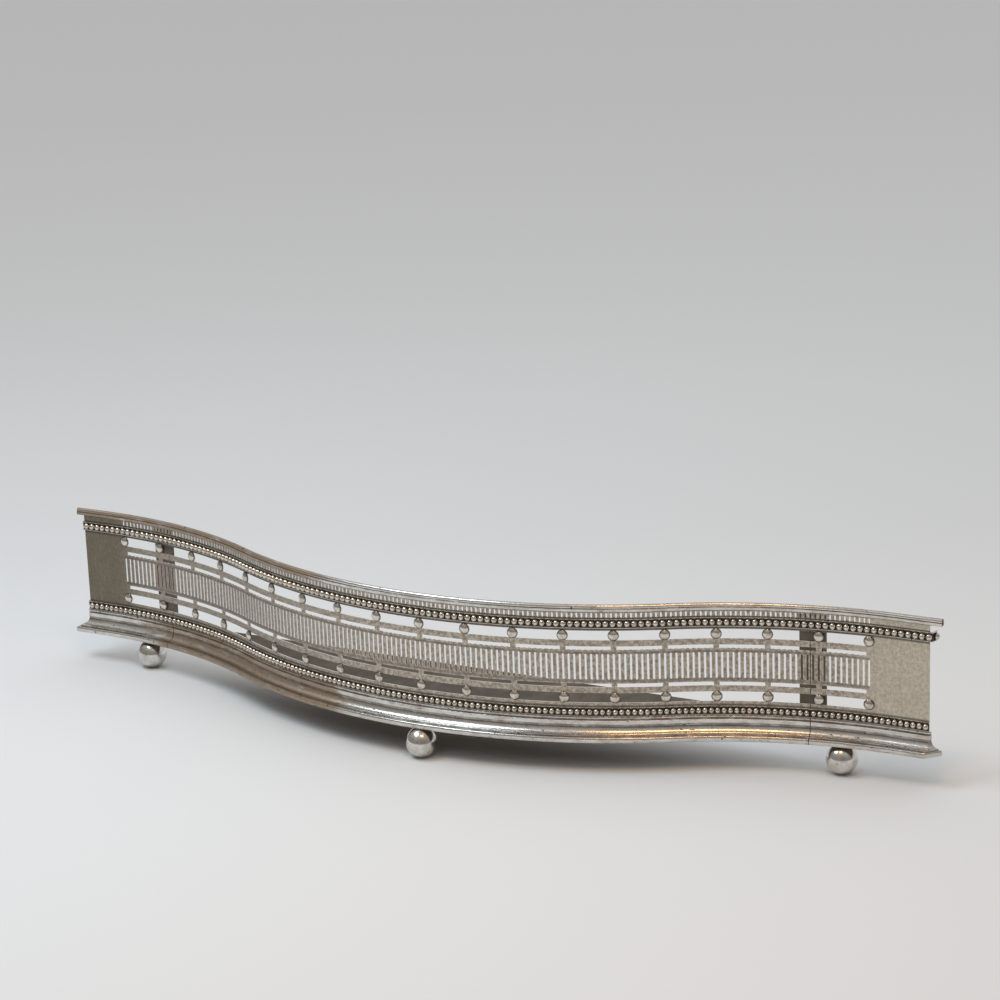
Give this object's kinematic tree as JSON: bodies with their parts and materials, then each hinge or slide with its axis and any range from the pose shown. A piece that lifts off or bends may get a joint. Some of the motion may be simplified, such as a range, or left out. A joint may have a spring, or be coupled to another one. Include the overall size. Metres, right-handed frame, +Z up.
{
  "type": "fireplace fender",
  "caption": "Low serpentine fireplace fender: pierced, studded and beaded steel front with a rounded top rail, on a moulded plinth carried by ball feet, with a curved hearth plate behind.",
  "frame": {"origin": "on the hearth, under the middle of the overall box", "axes": "+X to the right along the front, +Y from the front towards the fire, +Z up"},
  "size_m": [1.1998, 0.1816, 0.2055],
  "materials": {
    "worn_sheet_steel": "once polished sheet steel, worn to a mottled warm grey with fine upright rubbing marks",
    "polished_moulding_steel": "polished steel moulding with long highlights, small dark pits and faint rust warmth",
    "beaded_steel": "bright bead tops in a channel that is dark with old polish and dirt",
    "bright_steel": "mirror-polished solid steel with light handling wear",
    "dark_inner_steel": "unpolished steel, brown-grey and dull"
  },
  "bodies": {
    "root": {"front_sheet_left": "worn_sheet_steel", "plinth_left": "polished_moulding_steel", "lower_bead_strip_left": "beaded_steel", "front_sheet_centre": "worn_sheet_steel", "plinth_centre": "polished_moulding_steel", "lower_bead_strip_centre": "beaded_steel", "front_sheet_right": "worn_sheet_steel", "plinth_right": "polished_moulding_steel", "lower_bead_strip_right": "beaded_steel", "upper_bead_strip": "beaded_steel", "top_rail": "polished_moulding_steel", "splice_strap_left": "dark_inner_steel", "splice_strap_right": "dark_inner_steel", "sole_strip": "dark_inner_steel", "hearth_plate": "dark_inner_steel", "plate_ledge": "dark_inner_steel", "ball_foot_left": "bright_steel", "ball_foot_crest": "bright_steel", "ball_foot_right": "bright_steel", "stud_lower_01": "bright_steel", "stud_upper_01": "bright_steel", "stud_lower_02": "bright_steel", "stud_upper_02": "bright_steel", "stud_lower_03": "bright_steel", "stud_upper_03": "bright_steel", "stud_lower_04": "bright_steel", "stud_upper_04": "bright_steel", "stud_lower_05": "bright_steel", "stud_upper_05": "bright_steel", "stud_lower_06": "bright_steel", "stud_upper_06": "bright_steel", "stud_lower_07": "bright_steel", "stud_upper_07": "bright_steel", "stud_lower_08": "bright_steel", "stud_upper_08": "bright_steel", "stud_lower_09": "bright_steel", "stud_upper_09": "bright_steel", "stud_lower_10": "bright_steel", "stud_upper_10": "bright_steel", "stud_lower_11": "bright_steel", "stud_upper_11": "bright_steel", "stud_lower_12": "bright_steel", "stud_upper_12": "bright_steel", "stud_lower_13": "bright_steel", "stud_upper_13": "bright_steel", "stud_lower_14": "bright_steel", "stud_upper_14": "bright_steel", "stud_lower_15": "bright_steel", "stud_upper_15": "bright_steel", "stud_lower_16": "bright_steel", "stud_upper_16": "bright_steel", "stud_lower_17": "bright_steel", "stud_upper_17": "bright_steel", "stud_lower_18": "bright_steel", "stud_upper_18": "bright_steel", "stud_lower_19": "bright_steel", "stud_upper_19": "bright_steel"}
  },
  "joints": []
}
